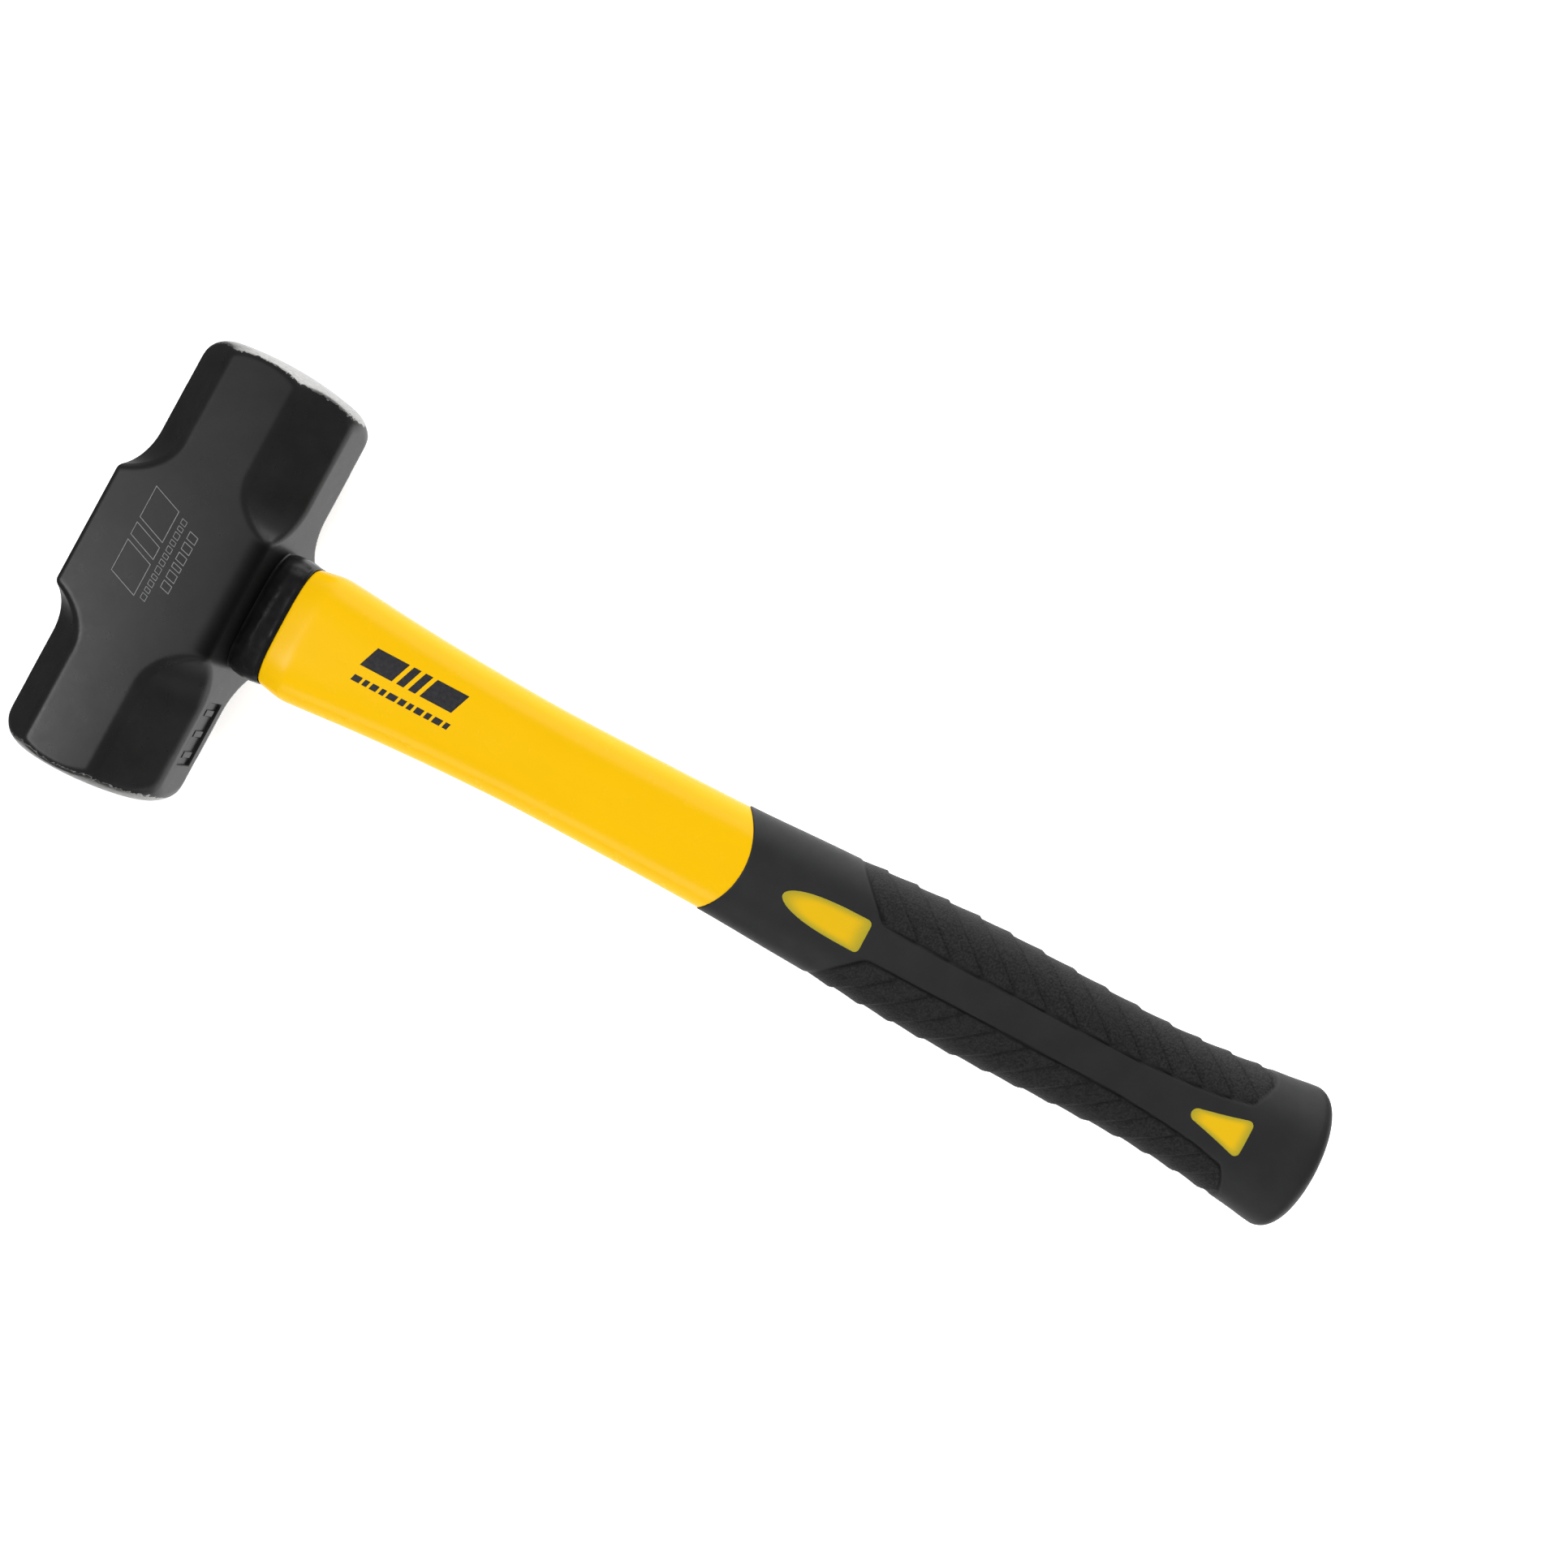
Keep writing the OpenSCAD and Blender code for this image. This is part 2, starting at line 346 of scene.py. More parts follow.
def jacket_material():
    """Smooth moulded plastic with a faint flow pattern."""
    n = Nodes("yellow_jacket_plastic")
    colour = n.mix(n.ramp(n.noise((30, 9, 9)), 0.35, 0.7), (0.815, 0.47, 0.0028), (0.795, 0.455, 0.0028))
    rough = n.ramp(n.noise(6), 0.3, 0.7, 0.24, 0.28)
    normal = n.bump(n.noise(1.2, 1), 0.002, n.bump(n.noise(18, 1), 0.03))
    return n.finish(colour, rough, normal, Specular_IOR_Level=0.3)


def land_material():
    """The yellow of the lands, greener and duller toward the outline."""
    n = Nodes("yellow_land_plastic")
    middle = n.mix(n.ramp(n.noise((30, 9, 9)), 0.35, 0.7), (0.7, 0.432, 0.0095), (0.68, 0.418, 0.0095))
    colour = n.mix(n.attribute("rim"), middle, (0.36, 0.3, 0.026))
    rough = n.ramp(n.noise(6), 0.3, 0.7, 0.24, 0.28)
    return n.finish(colour, rough, n.bump(n.noise(18, 1), 0.03), Specular_IOR_Level=0.3)


def grip_material():
    """Soft rubber, with a coarse leather grain inside the two side panels, and painted shade in the grain's
    pits, the grooves and the creases.
    """
    n = Nodes("charcoal_grip_rubber")
    panel = n.attribute("grain")
    wrinkles = n.math("MULTIPLY", n.noise(0.7, 4, 0.65), 0.8)
    leather = n.math("MULTIPLY_ADD", n.cells(0.55), 0.5, wrinkles)
    plain = n.mix(n.ramp(n.noise(8), 0.35, 0.7), (0.0195, 0.0197, 0.0205), (0.0225, 0.0227, 0.0235))
    # painted shade: the grain's colour darkens where the grain is deepest, in its pits
    pit_shaded_grain = n.mix(n.ramp(leather, 0.45, 0.8), (0.022, 0.022, 0.0225), (0.009, 0.009, 0.0093))
    colour = n.mix(panel, plain, pit_shaded_grain)
    # painted shade: near black in the groove round each panel and in the creases at the steps' drops
    colour = n.mix(n.attribute("groove"), colour, (0.001, 0.001, 0.001))
    rough = n.math("MULTIPLY_ADD", panel, 0.08, n.ramp(n.noise(3), 0.3, 0.7, 0.42, 0.5))
    pores = n.bump(n.math("MULTIPLY", leather, panel), -0.22)
    satin = n.bump(n.noise(0.35, 2), 0.012, pores)
    return n.finish(colour, rough, satin, Specular_IOR_Level=0.55)


def ink_material(name, light, dark):
    """A thin dull mark, for the print and for the etched lines."""
    n = Nodes(name)
    colour = n.mix(n.ramp(n.noise(0.8), 0.35, 0.7), light, dark)
    return n.finish(colour, n.ramp(n.noise(1.5), 0.3, 0.7, 0.4, 0.55), n.bump(n.noise(0.5), 0.01))


def floor_material():
    """A pale, slightly glowing floor that meets the white backdrop without an edge."""
    n = Nodes("pale_floor")
    colour = n.mix(n.ramp(n.noise(400), 0.3, 0.7), (0.88, 0.88, 0.88), (0.9, 0.9, 0.9))
    return n.finish(
        colour, 0.9, Specular_IOR_Level=0.1, Emission_Color=(1, 1, 1, 1), Emission_Strength=0.7)


# ---------------------------------------------------------------- head

BEVEL_P = 21.5                               # from the head's axis to a bevel
BEVEL_R = 15                                 # cutter that ends each bevel
BODY_EDGE_R, BEVEL_EDGE_R = 1.6, 1.1         # rounded edges of the block and of the bevels
BEVEL_FULL_Y = 0.489 * HALF_Y                # where the bevels reach full depth
GROUND_R = 24.0                              # the turned face: outside radius, edge and crown
GROUND_EDGE_R = 6.3
CROWN_R = 80.5
TURNED_Y = 45                                # the turning leaves the head alone short of this
PAINT_EDGE_R = 0.9                           # soft painted edge round the ground face
PAINT_BUILD = 0.2                            # thickness that the paint adds at the sides
PAINT_END = 3.35                             # from the end of the head back to the edge of the paint
PAINT_LEAN, PAINT_LEAN_R = 0.76, 20          # the paint ends further back outside this radius
BARREL = 0.0009                              # the cheeks fall away by this times x squared
COLLAR_HALF_L = (COLLAR_HIGH[1] - COLLAR_LOW[1]) / 2
EYE_L, EYE_W = EPOXY_HIGH[1] - EPOXY_LOW[1], EPOXY_HIGH[2] - EPOXY_LOW[2]
STAMP_Y = -0.606 * HALF_Y
STAMP_L, STAMP_W, STAMP_DEPTH = 19.2, 8.2, 0.8
STAMP_BARS = 3
EYE_POCKET_DEPTH = 3
POCKET_EDGE_R = 0.3
POCKET_LAP = 0.2                             # how far the stamp's plate laps over its pocket


def box_distance(x, y, z, half):
    """Distance from a box round the origin with these half sizes, below 0 inside it."""
    q = [np.abs(v) - h for v, h in zip((x, y, z), half)]
    outside = np.sqrt(sum(np.maximum(v, 0) ** 2 for v in q))
    return outside + np.minimum(np.maximum(np.maximum(q[0], q[1]), q[2]), 0)


def forged_field(x, y, z):
    """Distance from the forged surface of the head, with z from the handle's axis."""
    far = np.abs(y)
    cheek = np.abs(z) - HALF_Z + BARREL * x ** 2
    body = round_max(np.abs(x) - HALF_X - PAINT_BUILD, cheek, BODY_EDGE_R)
    p = (np.abs(x) + np.abs(z)) / math.sqrt(2)
    cutter = np.hypot(
        np.maximum(BEVEL_P + BEVEL_R - p, 0),
        np.maximum(BEVEL_FULL_Y - far, 0),
    ) - BEVEL_R
    return round_max(body, -cutter, BEVEL_EDGE_R)


def ground_field(x, y, z):
    """Distance from the turned and ground striking faces."""
    r, far = np.hypot(x, z), np.abs(y)
    crown = np.sqrt(r ** 2 + (far - (HALF_Y - CROWN_R)) ** 2) - CROWN_R
    rim = r - GROUND_R - 2 * np.maximum(0, TURNED_Y - far)
    return round_max(rim, crown, GROUND_EDGE_R)


def pocket_field(x, y, z):
    """Below 0 in the rough pockets that the eye and the stamp plate are set into."""
    eye = np.hypot(np.maximum(np.abs(y) - (EYE_L - EYE_W) / 2, 0), z) - EYE_W / 2
    eye = np.maximum(eye, x + HALF_X - EYE_POCKET_DEPTH)
    half = (2.5 * STAMP_DEPTH, STAMP_L / 2 - POCKET_LAP, STAMP_W / 2 - POCKET_LAP)
    return np.minimum(eye, box_distance(x - HALF_X, y - STAMP_Y, z, half))


def head_field(x, y, z):
    """Distance from the surface of the head, below 0 inside it."""
    z = z - AXIS_Z
    body = round_max(forged_field(x, y, z), ground_field(x, y, z), PAINT_EDGE_R)
    return round_max(body, -pocket_field(x, y, z), POCKET_EDGE_R)


def make_head(material):
    """The forging, whose points carry how far they are past the paint and how much painted shade and
    dullness the paint gets round the collar.
    """
    margin, step = 1.3, 0.62
    points, quads = surface_net(head_field, HEAD_LOW - margin, HEAD_HIGH + margin, step)
    head = make_piece("head_forging", points, quads, material)
    x, y, z = points.T
    radius = np.hypot(x, z - AXIS_Z)
    paint_line = HALF_Y - PAINT_END - PAINT_LEAN * np.maximum(radius - PAINT_LEAN_R, 0)
    add_attribute(head, "ground", np.abs(y) - paint_line)
    # painted shade mask: beside the collar, fading onto the cheek's edge next to it
    beside = smoothstep(COLLAR_HALF_L + 0.3, COLLAR_HALF_L - 2.5, np.abs(y))
    add_attribute(head, "shade_and_dull", beside * smoothstep(HALF_X - 6.5, HALF_X - 1, x))
    return head


def make_stamp(material):
    """The plate of fine mesh with the sunk stamp: a pocket with plain bars left standing."""
    border, step, proud = 0.5, 0.13, 0.015
    y = np.arange(-STAMP_L / 2 - border, STAMP_L / 2 + border + 0.01, step)
    z = np.arange(-STAMP_W / 2 - border, STAMP_W / 2 + border + 0.01, step)
    grid_y, grid_z = np.meshgrid(y, z, indexing="ij")
    inside = np.minimum(STAMP_L / 2 - np.abs(grid_y), STAMP_W / 2 - np.abs(grid_z))
    sunk = smoothstep(-0.1, 0.25, inside)
    pitch = STAMP_L / STAMP_BARS
    along = (grid_y + STAMP_L / 2) % pitch - pitch / 2
    bar = np.minimum(0.15 * pitch - np.abs(along), 0.32 * STAMP_W - np.abs(grid_z))
    raised = smoothstep(-0.12, 0.12, bar)
    face_x = HALF_X + PAINT_BUILD + proud - STAMP_DEPTH * sunk * (1 - 0.6 * raised)
    points = np.stack([face_x, STAMP_Y + grid_y, AXIS_Z + grid_z], -1).reshape(-1, 3)
    rows, columns = grid_y.shape
    number = np.arange(rows * columns).reshape(rows, columns)
    quads = np.stack([number[:-1, :-1], number[1:, :-1], number[1:, 1:], number[:-1, 1:]], -1)
    plate = make_piece("head_stamp", points, quads.reshape(-1, 4).tolist(), material)
    add_attribute(plate, "ground", np.full(len(points), -1.0))
    add_attribute(plate, "shade_and_dull", np.zeros(len(points)))


# ---------------------------------------------------------------- eye

def stadium(length, width, sides=96):
    """Points round a bar's outline in y and z, with half-circle ends, clockwise seen from the butt."""
    a = 2 * math.pi * (sides - np.arange(sides) - 0.5) / sides
    y = width / 2 * np.cos(a) + np.sign(np.cos(a)) * (length - width) / 2
    return np.stack([y, width / 2 * np.sin(a)], -1)


def make_eye(epoxy, core):
    """The epoxy that is poured round the core, and the core's sawn end, on the crown side."""
    lap, core_dome, saw_marks = 0.4, 0.1, 0.03
    core_l, core_w = CORE_HIGH[1] - CORE_LOW[1], CORE_HIGH[2] - CORE_LOW[2]
    outer, inner = stadium(EYE_L + lap, EYE_W + lap), stadium(core_l, core_w)
    wave = 0.4 * np.sin(3 * np.arctan2(outer[:, 1], outer[:, 0]) + 1)
    rings = []
    for t in np.linspace(0, 1, 14):
        edge = outer * (1 - t) + inner * t
        climb = 0.35 * math.exp(-6 * t) + 0.25 * math.exp(-8 * (1 - t))
        x = EPOXY_LOW[0] - climb + t * (1 - t) * wave
        rings.append(np.column_stack([x, edge[:, 0], AXIS_Z + edge[:, 1]]))
    depth = CORE_LOW[0] - EPOXY_LOW[0] + 0.6
    rings.append(rings[-1] + [depth, 0, 0])
    eye = loft("eye_epoxy_fill", np.array(rings), epoxy)
    ends = []
    for t in (1, 0.8, 0.6, 0.4, 0.2, 0.02):
        edge = (inner + 0.05 * np.sign(inner)) * t
        x = CORE_LOW[0] + core_dome * t * t + saw_marks * np.sin(9 * edge[:, 0])
        ends.append(np.column_stack([x, edge[:, 0], AXIS_Z + edge[:, 1]]))
    rod = loft("core_end", np.array(ends), core, close_end=True)
    return eye, rod


# ---------------------------------------------------------------- handle

SWELL_X = JACKET_X + 0.65 * (BUTT_X - JACKET_X)
JACKET_END_X = 170.4                         # the visible jacket ends in an arc of this radius
JACKET_END_R = 22.5
GRIP_START_X = JACKET_END_X - JACKET_END_R   # centre of that arc
WAIST_H, WAIST_T = 29.9, 21.6
SHOULDER_H = 37.5
SWELL_H, SWELL_T = 36.4, 27.2
HEEL_H = 33.6

# Distance along the handle, half height, half thickness and squareness of the section
HANDLE = np.array([
    (JACKET_X, SHOULDER_H / 2 - 1.3, WAIST_T / 2 - 0.9, 3.2),
    (JACKET_X + 6, SHOULDER_H / 2 - 0.15, WAIST_T / 2 + 0.35, 3.2),
    (JACKET_X + 8.5, SHOULDER_H / 2, WAIST_T / 2 + 0.5, 3.2),
    (JACKET_X + 29, SHOULDER_H / 2 - 1.7, WAIST_T / 2 + 0.3, 3.0),
    (JACKET_X + 49, WAIST_H / 2 + 0.9, WAIST_T / 2 + 0.1, 2.8),
    (JACKET_X + 74, WAIST_H / 2 + 0.05, WAIST_T / 2, 2.7),
    (JACKET_X + 99, WAIST_H / 2 + 0.1, WAIST_T / 2 + 0.2, 2.6),
    (JACKET_END_X - 5, WAIST_H / 2 + 0.6, WAIST_T / 2 + 0.9, 2.6),
    (JACKET_END_X + 20, SWELL_H / 2 - 1.55, SWELL_T / 2 - 1, 2.5),
    (SWELL_X, SWELL_H / 2, SWELL_T / 2, 2.4),
    (BUTT_X - 52, HEEL_H / 2, SWELL_T / 2 - 0.7, 2.3),
    (BUTT_X - 30, HEEL_H / 2 + 1, BUTT_T / 2 - 2.4, 2.2),
    (BUTT_X - 15, BUTT_H / 2 - 1.2, BUTT_T / 2 - 1.1, 2.1),
    (BUTT_X - BUTT_EDGE_R, BUTT_H / 2, BUTT_T / 2, 2.0),
    (BUTT_X, BUTT_H / 2, BUTT_T / 2, 2.0),
])


def handle_at(x):
    """Half height, half thickness and squareness at x, on smooth curves through the table."""
    x = np.asarray(x, float)
    last = len(HANDLE) - 1
    rows = np.clip(np.searchsorted(HANDLE[:, 0], x, side="right") - 1, 0, last - 1)
    before = np.maximum(np.arange(last + 1) - 1, 0)
    after = np.minimum(np.arange(last + 1) + 1, last)
    slope = (HANDLE[after] - HANDLE[before]) / (HANDLE[after, 0] - HANDLE[before, 0])[:, None]
    step = HANDLE[rows + 1, 0] - HANDLE[rows, 0]
    t = ((x - HANDLE[rows, 0]) / step)[..., None]
    step = step[..., None]
    value = (
        (2 * t ** 3 - 3 * t ** 2 + 1) * HANDLE[rows] + (t ** 3 - 2 * t ** 2 + t) * step * slope[rows]
        + (3 * t ** 2 - 2 * t ** 3) * HANDLE[rows + 1] + (t ** 3 - t ** 2) * step * slope[rows + 1]
    )
    return value[..., 1], value[..., 2], value[..., 3]


def even_angles(sides):
    """Angles that are evenly spaced round a typical section."""
    power = 2 / 2.5
    a = np.linspace(0, 2 * math.pi, 20001)
    y = SWELL_H / 2 * np.sign(np.cos(a)) * np.abs(np.cos(a)) ** power
    z = SWELL_T / 2 * np.sign(np.sin(a)) * np.abs(np.sin(a)) ** power
    run = np.concatenate([[0], np.cumsum(np.hypot(np.diff(y), np.diff(z)))])
    return np.interp((np.arange(sides) + 0.5) * run[-1] / sides, run, a)


def handle_points(x, angle, lift):
    """Points on the handle at x and angle, lifted off its surface."""
    half_h, half_t, square = handle_at(x)
    power = 2 / square
    cos, sin = np.cos(angle), np.sin(angle)
    y = half_h * np.sign(cos) * np.abs(cos) ** power
    z = half_t * np.sign(sin) * np.abs(sin) ** power
    ny = np.sign(cos) * np.abs(cos) ** (2 - power) / half_h
    nz = np.sign(sin) * np.abs(sin) ** (2 - power) / half_t
    size = np.hypot(ny, nz)
    return np.stack([x + 0 * y, y + lift * ny / size, AXIS_Z + z + lift * nz / size], -1)


def top_height(x, y):
    """Height of the handle's surface above its axis at x and y."""
    half_h, half_t, square = handle_at(x)
    inside = np.clip(1 - (np.abs(y) / half_h) ** square, 0, 1)
    return half_t * inside ** (1 / square)


def make_jacket(material):
    """The jacket from the collar to just under the grip, with a rounded edge at the collar."""
    edge_r, row, tuck, lip_size = 0.8, 0.8, 1.0, 0.85
    edge_rows = JACKET_X + np.array([0.0, 0.15, 0.4, edge_r])
    x = np.concatenate([edge_rows, np.arange(JACKET_X + 1.4, JACKET_END_X + 3, row)])
    grid_x, grid_a = np.meshgrid(x, even_angles(176), indexing="ij")
    edge = np.clip(1 - (grid_x - JACKET_X) / edge_r, 0, 1)
    lift = -edge_r * (1 - np.sqrt(1 - edge ** 2))
    rings = handle_points(grid_x, grid_a, lift)
    along = rings[..., 0] - GRIP_START_X
    past_arc = np.hypot(np.maximum(along, 0), rings[..., 1]) - JACKET_END_R
    under = np.where(along > 0, smoothstep(0, 1, past_arc - 0.3), 0)
    rings = handle_points(grid_x, grid_a, lift - tuck * under)
    lip = rings[:1].copy()
    lip[..., 1] *= lip_size
    lip[..., 2] = AXIS_Z + (lip[..., 2] - AXIS_Z) * lip_size
    return loft("handle_jacket_shell", np.concatenate([lip, rings]), material)


# Half width of the smooth band between the side panels, at places along the handle
BAND = np.array([
    (JACKET_END_X + 28, 5.2),
    (SWELL_X, 4.9),
    (BUTT_X - 59, 5.2),
    (BUTT_X - 44.5, 6.2),
    (BUTT_X - 34.5, 7.3),
    (BUTT_X - 25.5, 9.3),
    (BUTT_X - 21.5, 14),
])
PANEL_FRONT_X = JACKET_END_X + 39.6          # where each panel's slanted front edge starts
PANEL_FRONT_Y, PANEL_FRONT_SLANT = 5.2, 0.97
PANEL_REAR_X = BUTT_X - 20.2
PANEL_REAR_R, PANEL_FRONT_R = 4.5, 1.0       # corners of a panel
STEP_PITCH = 9.7                             # the steps across a panel
STEP_SLANT = 1.15
STEP_START = BUTT_X - 30.95
STEP_HEIGHT = 0.6
PANEL_SINK = 0.3                             # depth of the panels and of the groove round them
GRIP_TURN = 0.85                             # sideways shift of the grip's pattern at the top


def panel_depth_at(x, y):
    """How far a point lies inside a side panel's outline, seen from the cheek side."""
    far = np.abs(y)
    beside = np.interp(x, BAND[:, 0], BAND[:, 1]) - far
    behind = x - PANEL_REAR_X
    before = (PANEL_FRONT_X - x - (far - PANEL_FRONT_Y) * PANEL_FRONT_SLANT) * 0.72
    return -round_max(round_max(beside, behind, PANEL_REAR_R), before, PANEL_FRONT_R)


def grip_relief(x, y, rise):
    """Height of the relief, and how much of a point is panel and how much is groove or crease.

    rise is the point's height over the axis, from -1 underneath to 1 at the top."""
    y = y + GRIP_TURN * rise
    inside = panel_depth_at(x, y)
    panel = smoothstep(0.0, 0.7, inside)
    groove = np.exp(-((inside - 0.1) / 0.38) ** 2)
    across = (x + STEP_SLANT * np.abs(y) - STEP_START) / STEP_PITCH
    part = across % 1.0
    ramp = part ** 1.6 * smoothstep(0, 0.08, 1 - part)
    crease = panel * np.exp(-((part - 0.03) / 0.06) ** 2)
    height = panel * (STEP_HEIGHT * ramp - PANEL_SINK) - PANEL_SINK * groove
    return height, panel, np.maximum(groove, 0.6 * crease)


def grip_rows(angle):
    """Where each row of the grip's points lies along the handle, and how far it is sunk.

    The rows start along the arc where the jacket ends and are straight from the end of the blend on."""
    base_y = handle_points(np.full(len(angle), GRIP_START_X + 20.0), angle, 0)[:, 1]
    start = GRIP_START_X + np.sqrt(np.maximum(JACKET_END_R ** 2 - base_y ** 2, 0))
    end, row = BUTT_X - BUTT_EDGE_R, 0.5
    blend = 25.6
    blend_end = JACKET_END_X + blend
    places, drops = [], []
    for step, drop in ((0.0, -0.9), (0.0, -0.35), (0.06, -0.05), (0.3, 0.0)):
        places.append(start + step)
        drops.append(drop)
    for x in np.linspace(JACKET_END_X + 0.6, end, int((end - JACKET_END_X) / row)):
        run = x - JACKET_END_X
        warped = start + run * (blend_end - start) / blend
        places.append(warped if run < blend else np.full(len(angle), x))
        drops.append(0.0)
    return np.array(places), np.array(drops)[:, None]


def make_grip(material):
    """The grip, whose points carry how much they are grained panel and how much groove."""
    angle = even_angles(212)
    end = BUTT_X - BUTT_EDGE_R
    grid_x, drop = grip_rows(angle)
    grid_a = np.broadcast_to(angle, grid_x.shape)
    flat = handle_points(grid_x, grid_a, GRIP_STEP)
    rise = (flat[..., 2] - AXIS_Z) / (SWELL_T / 2)
    relief, grain, groove = grip_relief(flat[..., 0], flat[..., 1], rise)
    skin = handle_points(grid_x, grid_a, GRIP_STEP + drop + relief)
    # the rounded edge of the butt and its domed end
    butt = []
    for a in np.radians(np.arange(5, 91, 5)):
        inset = BUTT_EDGE_R * (1 - math.cos(a))
        points = handle_points(np.full(len(angle), end), angle, GRIP_STEP * math.cos(a) - inset)
        points[:, 0] += (BUTT_EDGE_R - BUTT_DOME) * math.sin(a)
        butt.append(points)
    rim = butt[-1]
    for t in np.linspace(0.95, 0.03, 22):
        points = rim.copy()
        points[:, 1] *= t
        points[:, 2] = AXIS_Z + (points[:, 2] - AXIS_Z) * t
        points[:, 0] += BUTT_DOME * (1 - t * t)
        butt.append(points)
    rings = np.concatenate([skin, np.array(butt)])
    smooth = np.zeros((len(butt), len(angle)))
    piece = loft("grip_sleeve", rings, material, close_end=True)
    add_attribute(piece, "grain", np.concatenate([grain, smooth]))
    add_attribute(piece, "groove", np.concatenate([groove, smooth]))
    return piece


def land_outline(x0, length, nose_x, nose_y, half, corner, count=40):
    """Half outline from the nose at x0 to the flat end: a quarter ellipse, a straight side and a corner."""
    a = np.linspace(math.pi, math.pi / 2, count)
    nose = np.column_stack([x0 + nose_x + nose_x * np.cos(a), nose_y * np.sin(a)])
    a = np.linspace(math.pi / 2, 0, 10)
    end = np.column_stack([x0 + length - corner + corner * np.cos(a), half - corner + corner * np.sin(a)])
    return np.concatenate([nose, end])


def make_land(name, half_outline, side, material):
    """A raised land of the jacket that shows through the grip: side is 1 on top and -1 underneath."""
    mirrored = half_outline[::-1] * [1, -1]
    outline = np.concatenate([half_outline, mirrored[:-1]])
    run = np.concatenate([[0], np.cumsum(np.linalg.norm(np.diff(outline, axis=0), axis=1))])
    even = np.linspace(0, run[-1], 160, endpoint=False)
    outline = np.column_stack([np.interp(even, run, outline[:, k]) for k in (0, 1)])
    outline[:, 1] -= GRIP_TURN * side
    centre = outline.mean(0)
    inward = centre - outline
    inward /= np.linalg.norm(inward, axis=1)[:, None]
    rings = []
    edge_r, proud, skirt, crown = 0.35, 0.05, 1.6, 0.12
    for a in np.radians([0, 22, 45, 67, 90]):
        xy = outline + inward * edge_r * (1 - math.cos(a))
        rings.append((xy, -edge_r * (1 - math.sin(a)), 1))
    rings.insert(0, (outline, -skirt, 1))
    for t in (0.96, 0.9, 0.83, 0.75, 0.65, 0.55, 0.35, 0.15, 0.02):
        xy = centre + (outline + inward * edge_r - centre) * t
        rings.append((xy, crown * (1 - t * t), smoothstep(0.55, 1.05, t)))
    points = []
    for xy, lift, _ in rings:
        z = top_height(xy[:, 0], xy[:, 1]) + GRIP_STEP + proud + lift
        points.append(np.column_stack([xy, AXIS_Z + side * z]))
    points = np.array(points)
    if side > 0:
        points = points[:, ::-1]
    land = loft(name, points, material, close_end=True)
    add_attribute(land, "rim", np.repeat([rim for _, _, rim in rings], len(outline)))


def make_collar(material):
    """The rubber collar between the head and the jacket: a fold near the head, a broad crest in the middle
    and an end that rounds off at the jacket.
    """
    sides = 140
    a = 2 * math.pi * (np.arange(sides) + 0.5) / sides
    half_h, half_t = (COLLAR_HIGH - COLLAR_LOW)[1:] / 2 - 0.3
    rings = []
    for place in np.linspace(COLLAR_LOW[0] - 0.4, COLLAR_HIGH[0] + 0.3, 44):
        t = (place - COLLAR_LOW[0]) / (COLLAR_HIGH[0] - COLLAR_LOW[0])
        body = 0.5 * np.exp(-((t - 0.5) / 0.3) ** 2)
        fold = -0.4 * np.exp(-((t - 0.08) / 0.08) ** 2) * (1 + 0.4 * np.sin(2 * a + 0.6))
        lumps = 0.1 * np.sin(3 * a + 4 * t + 1.0) + 0.05 * np.sin(7 * a + 6 * t)
        lift = body + fold + lumps * (1 - smoothstep(0.6, 0.9, t)) - 0.3 * smoothstep(0.9, 1.03, t) ** 2
        power = 2 / 3.6
        cos, sin = np.cos(a), np.sin(a)
        y = (half_h + lift) * np.sign(cos) * np.abs(cos) ** power
        z = (half_t + lift) * np.sign(sin) * np.abs(sin) ** power
        rings.append(np.column_stack([np.full(sides, place), y, AXIS_Z + z]))
    return loft("collar_ring", np.array(rings), material)


# ---------------------------------------------------------------- marks

def ribbon(outline, width):
    """Quads along a closed outline, half of the width on each side."""
    before, after = np.roll(outline, 1, axis=0), np.roll(outline, -1, axis=0)
    first, second = outline - before, after - outline
    first /= np.linalg.norm(first, axis=1)[:, None]
    second /= np.linalg.norm(second, axis=1)[:, None]
    normal_a = np.column_stack([-first[:, 1], first[:, 0]])
    normal_b = np.column_stack([-second[:, 1], second[:, 0]])
    mitre = normal_a + normal_b
    mitre /= (mitre * normal_a).sum(1)[:, None]
    inner, outer = outline - mitre * width / 2, outline + mitre * width / 2
    return [
        np.array([inner[i], inner[j], outer[j], outer[i]])
        for i, j in zip(range(len(outline)), np.roll(np.arange(len(outline)), -1))
    ]


def slanted(x0, x1, y0, y1, lean):
    """A parallelogram that leans along x."""
    return np.array([(x0, y0), (x1, y0), (x1 + lean, y1), (x0 + lean, y1)], float)


def mark_piece(name, quads, height, cuts, material):
    """Flat marks on a surface: each quad becomes a small grid that follows height(x, y)."""
    points, faces = [], []
    t = np.linspace(0, 1, cuts + 1)
    for quad in quads:
        first = len(points)
        for v in t:
            for u in t:
                low, high = quad[0] * (1 - u) + quad[1] * u, quad[3] * (1 - u) + quad[2] * u
                x, y = low * (1 - v) + high * v
                points.append((x, y, float(height(x, y))))
        for j in range(cuts):
            for i in range(cuts):
                a = first + j * (cuts + 1) + i
                faces.append((a, a + 1, a + cuts + 2, a + cuts + 1))
    return make_piece(name, points, faces, material)


def dashes(start, widths, gap, y0, y1, lean):
    """A row of small leaning bars, one for each width."""
    made, x = [], start
    for width in widths:
        made.append(slanted(x, x + width, y0, y1, lean))
        x += width + gap
    return made


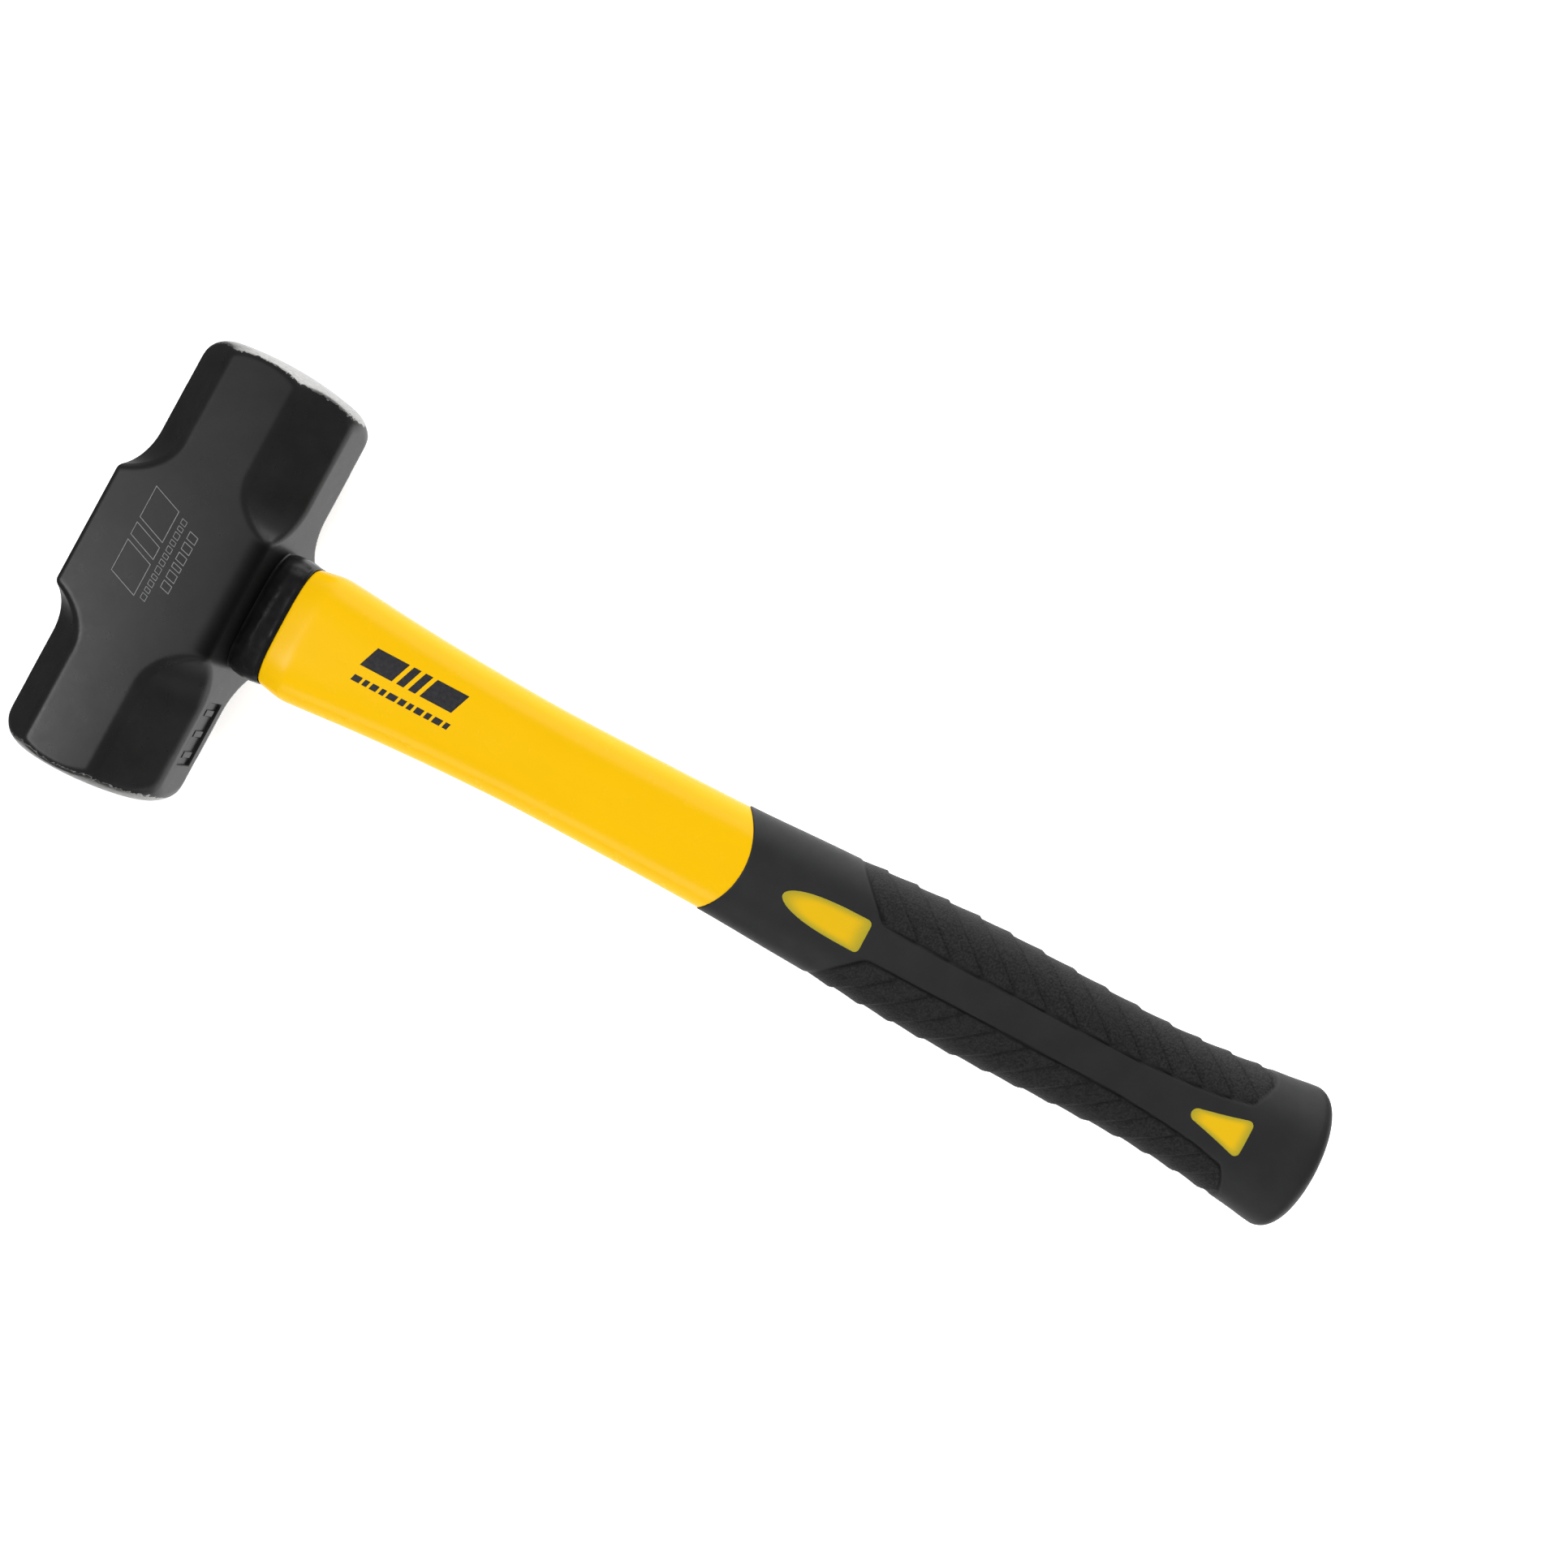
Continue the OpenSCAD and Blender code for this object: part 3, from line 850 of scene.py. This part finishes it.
def make_print(material):
    """A plain printed mark on the jacket: slanted blocks over a row of dashes."""
    start, ink = 55.0, 0.03
    bars = dashes(start, (9.5, 2.2, 2.2, 9.5), 1.3, 0.2, 6.3, 2.2)
    widths = (2.4, 1.4, 2.0, 1.4, 2.6, 1.8, 1.4, 2.2, 1.6, 2.4, 1.4)
    row = dashes(start - 0.4, widths, 0.8, -4.4, -2.6, 0.5)

    def height(x, y):
        return AXIS_Z + top_height(x, y) + ink
    return mark_piece("jacket_print", bars + row, height, 8, material)


def make_etching(material):
    """Thin bright outlines etched on the upper cheek: slanted blocks, with two rows below them."""
    line, ink = 0.2, 0.012
    quads = []
    for x0, x1 in ((-12.5, -3.5), (-2.0, 1.5), (3.0, 12.0)):
        quads += ribbon(slanted(x0, x1, 2.0, 10.2, 3.2), line)
    widths = (1.5, 1.0, 1.3, 1.0, 1.6, 1.2, 1.0, 1.4, 1.1, 1.5, 1.0, 1.3)
    for small in dashes(-12.6, widths, 0.75, -1.2, 0.3, 0.4):
        quads += ribbon(small, line * 0.8)
    for small in dashes(-8.0, (2.0, 2.0, 1.2, 2.0, 2.0, 2.0), 1.0, -5.6, -3.0, 0.7):
        quads += ribbon(small, line)
    turned = [np.column_stack([-q[:, 1], q[:, 0] + 1.5]) for q in quads]

    def height(x, y):
        return HEAD_HIGH[2] + ink
    return mark_piece("cheek_etching", turned, height, 1, material)


# ---------------------------------------------------------------- build

yellow = jacket_material()
yellow_land = land_material()

paint = head_material()
head = make_head(paint)
make_stamp(paint)
eye, rod = make_eye(epoxy_material(), core_material())
collar = make_collar(collar_material())
jacket = make_jacket(yellow)
grip = make_grip(grip_material())

front_outline = land_outline(
    JACKET_END_X + 12.1, length=25, nose_x=18, nose_y=4.8, half=4.8, corner=1.4)
rear_outline = land_outline(
    BUTT_X - 39.4, length=16.5, nose_x=2, nose_y=1.9, half=5.3, corner=1.4, count=12)
for side, word in ((1, "top"), (-1, "under")):
    make_land(f"front_land_{word}", front_outline, side, yellow_land)
    make_land(f"rear_land_{word}", rear_outline, side, yellow_land)

make_print(ink_material("print_ink", (0.018, 0.018, 0.02), (0.03, 0.03, 0.032)))
make_etching(ink_material("etched_line", (0.16, 0.16, 0.165), (0.24, 0.24, 0.245)))

jacket.visible_glossy = False                # keeps yellow glints out of the black head

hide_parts("head")
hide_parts("eye_epoxy")
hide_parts("core_rod")
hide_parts("collar")
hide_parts("handle_jacket")
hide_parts("grip")


# ---------------------------------------------------------------- stage, light and camera

def make_floor():
    """A pale floor, left out of reflections so that they show the world's sweep and card."""
    half = 1.5
    corners = [(-half, -half, 0), (half, -half, 0), (half, half, 0), (-half, half, 0)]
    mesh = bpy.data.meshes.new("floor")
    mesh.from_pydata(corners, [], [(0, 1, 2, 3)])
    mesh.materials.append(floor_material())
    floor = bpy.data.objects.new("floor", mesh)
    bpy.context.scene.collection.objects.link(floor)
    floor.visible_glossy = False


def make_light(name, place, target, size, power, round_lamp=False):
    """An area light. Only the round lamp shows in reflections."""
    data = bpy.data.lights.new(name, "AREA")
    data.shape = "ELLIPSE" if round_lamp else "RECTANGLE"
    data.size, data.size_y = size
    data.energy = power
    light = bpy.data.objects.new(name, data)
    light.location = place
    light.rotation_mode = "QUATERNION"
    light.rotation_quaternion = (Vector(target) - Vector(place)).to_track_quat("-Z", "Y")
    light.visible_glossy = round_lamp
    bpy.context.scene.collection.objects.link(light)


def make_world():
    """A dim studio, which shows in reflections, with a white sweep below, a white card on the +Y side,
    a pale sweep beyond the butt and a faint glow overhead. Seen directly it is a white backdrop."""
    world = bpy.data.worlds.new("studio")
    n = Tree(world)
    direction = n.add("ShaderNodeTexCoord").outputs["Generated"]
    x, y, z = n.parts(direction)
    left = n.ramp(x, -0.75, -0.45, smooth=True)
    near = n.ramp(y, -0.75, -0.2, 0.45, 1, smooth=True)
    below = n.math("MULTIPLY", left, near)
    below = n.math("MULTIPLY", below, n.ramp(z, 0.0, -0.6, smooth=True))
    card = n.math("MULTIPLY", n.ramp(y, 0.5, 0.85, smooth=True), n.ramp(z, 0.7, 0.35, smooth=True))
    corner = n.math("MULTIPLY", n.ramp(x, 0.2, 0.45, smooth=True), n.ramp(y, 0.2, 0.55, smooth=True))
    sides = n.math("MULTIPLY", n.math("MAXIMUM", below, card), n.ramp(corner, 0, 1, 1, 0.1))
    toward = n.add("ShaderNodeVectorMath", operation="DOT_PRODUCT")
    n.link(direction, toward.inputs[0])
    toward.inputs[1].default_value = Vector((-0.48, -0.05, 0.876)).normalized()
    halo = n.ramp(toward.outputs["Value"], 0.966, 0.9925, 0, 0.78, smooth=True)
    beyond = n.math("MULTIPLY", n.ramp(x, 0.68, 0.88, smooth=True), n.ramp(z, 0.35, 0.05, smooth=True))
    beyond = n.math("MULTIPLY", beyond, n.ramp(y, 0.0, -0.3, 0, 0.6, smooth=True))
    light = n.math("ADD", sides, halo)
    light = n.math("ADD", light, beyond)
    light = n.math("ADD", light, 0.04)
    shown = n.add("ShaderNodeLightPath").outputs["Is Camera Ray"]
    background = n.add("ShaderNodeBackground")
    n.link(n.math("MAXIMUM", light, shown), background.inputs["Strength"])
    output = n.add("ShaderNodeOutputWorld")
    n.link(background.outputs[0], output.inputs["Surface"])
    background.inputs["Color"].default_value = (1, 1, 1, 1)
    bpy.context.scene.world = world


CAMERA_AIM = Vector((169.34, 25.30, 20.3))
CAMERA_DISTANCE = 390.0
CAMERA_YAW, CAMERA_PITCH, CAMERA_ROLL = (math.radians(a) for a in (-0.555, -0.913, 28.036))
CAMERA_LENS = 32.65


def make_camera():
    """The camera over the hammer, square to its cheek and rolled so that the handle runs downhill."""
    forward = -Vector((
        math.sin(CAMERA_YAW) * math.cos(CAMERA_PITCH),
        math.sin(CAMERA_PITCH),
        math.cos(CAMERA_YAW) * math.cos(CAMERA_PITCH),
    ))
    level_right = forward.cross(Vector((0, 1, 0))).normalized()
    level_up = level_right.cross(forward)
    right = math.cos(CAMERA_ROLL) * level_right + math.sin(CAMERA_ROLL) * level_up
    up = -math.sin(CAMERA_ROLL) * level_right + math.cos(CAMERA_ROLL) * level_up
    data = bpy.data.cameras.new("camera")
    data.sensor_width = 36
    data.lens = CAMERA_LENS
    data.clip_start, data.clip_end = 0.01, 100
    camera = bpy.data.objects.new("camera", data)
    place = (CAMERA_AIM - CAMERA_DISTANCE * forward) * MM
    turn = Matrix((right, up, -forward)).transposed().to_4x4()
    camera.matrix_world = Matrix.Translation(place) @ turn
    bpy.context.scene.collection.objects.link(camera)
    bpy.context.scene.camera = camera


make_floor()
make_world()
make_light("softbox_far", (0.2, 1.5, 1.3), (0.15, 0, 0), (1.6, 0.8), 41)
make_light("softbox_near", (0.2, -1.8, 0.9), (0.15, 0, 0), (1.6, 0.8), 43)
make_light("round_lamp", (-2.18, -0.97, 3.21), (0, 0, 0), (1.3, 1.3), 19, round_lamp=True)
make_camera()
bpy.context.scene.view_settings.view_transform = "Standard"
